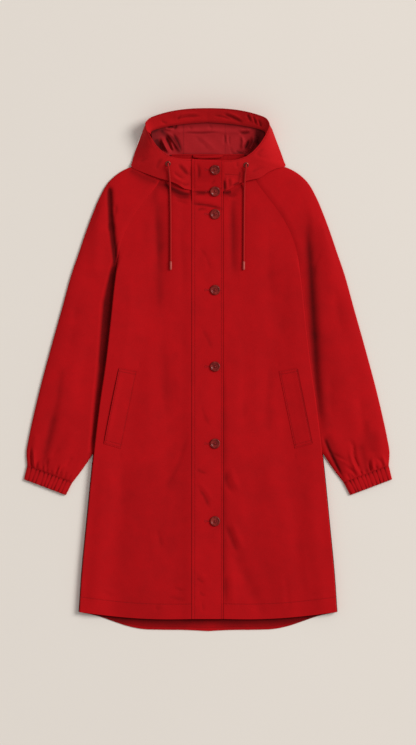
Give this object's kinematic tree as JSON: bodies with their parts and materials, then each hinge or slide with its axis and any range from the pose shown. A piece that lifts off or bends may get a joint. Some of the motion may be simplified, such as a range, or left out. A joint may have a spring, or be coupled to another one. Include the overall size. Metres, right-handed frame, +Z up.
{
  "type": "hooded rain jacket",
  "caption": "Knee-length raglan rain jacket with an open drawcord hood, button placket, slanted welt pockets and gathered cuffs, laid flat on its back.",
  "frame": {"origin": "on the surface that the jacket lies on, under the middle of its outline", "axes": "+Z up from the surface through the front, +Y from the hem to the hood, +X towards the wearer's left sleeve"},
  "size_m": [0.736, 1.044, 0.033],
  "materials": {
    "red_cloth": "matte closely woven cotton",
    "lining_cloth": "thin lining with a faint sheen",
    "button_resin": "polished mottled resin",
    "eyelet_metal": "dark plated",
    "cord_yarn": "braided",
    "tip_plastic": "satin"
  },
  "bodies": {
    "root": {"front_right": "red_cloth", "front_left": "red_cloth", "back": "red_cloth", "sleeve_right": "red_cloth", "sleeve_left": "red_cloth", "cuff_right": "red_cloth", "cuff_left": "red_cloth", "placket": "red_cloth", "pocket_welt_right": "red_cloth", "pocket_welt_left": "red_cloth", "hood_side_right": "red_cloth", "hood_side_left": "red_cloth", "hood_back": "red_cloth", "hood_facing_right": "red_cloth", "hood_facing_left": "red_cloth", "hood_lining_right": "lining_cloth", "hood_lining_centre": "lining_cloth", "hood_lining_left": "lining_cloth", "neck_band": "red_cloth", "hang_loop": "red_cloth", "button_1": "button_resin", "button_2": "button_resin", "button_3": "button_resin", "button_4": "button_resin", "button_5": "button_resin", "button_6": "button_resin", "button_7": "button_resin", "eyelet_right": "eyelet_metal", "eyelet_left": "eyelet_metal", "drawcord_right": "cord_yarn", "drawcord_left": "cord_yarn", "cord_tip_right": "tip_plastic", "cord_tip_left": "tip_plastic"}
  },
  "joints": []
}
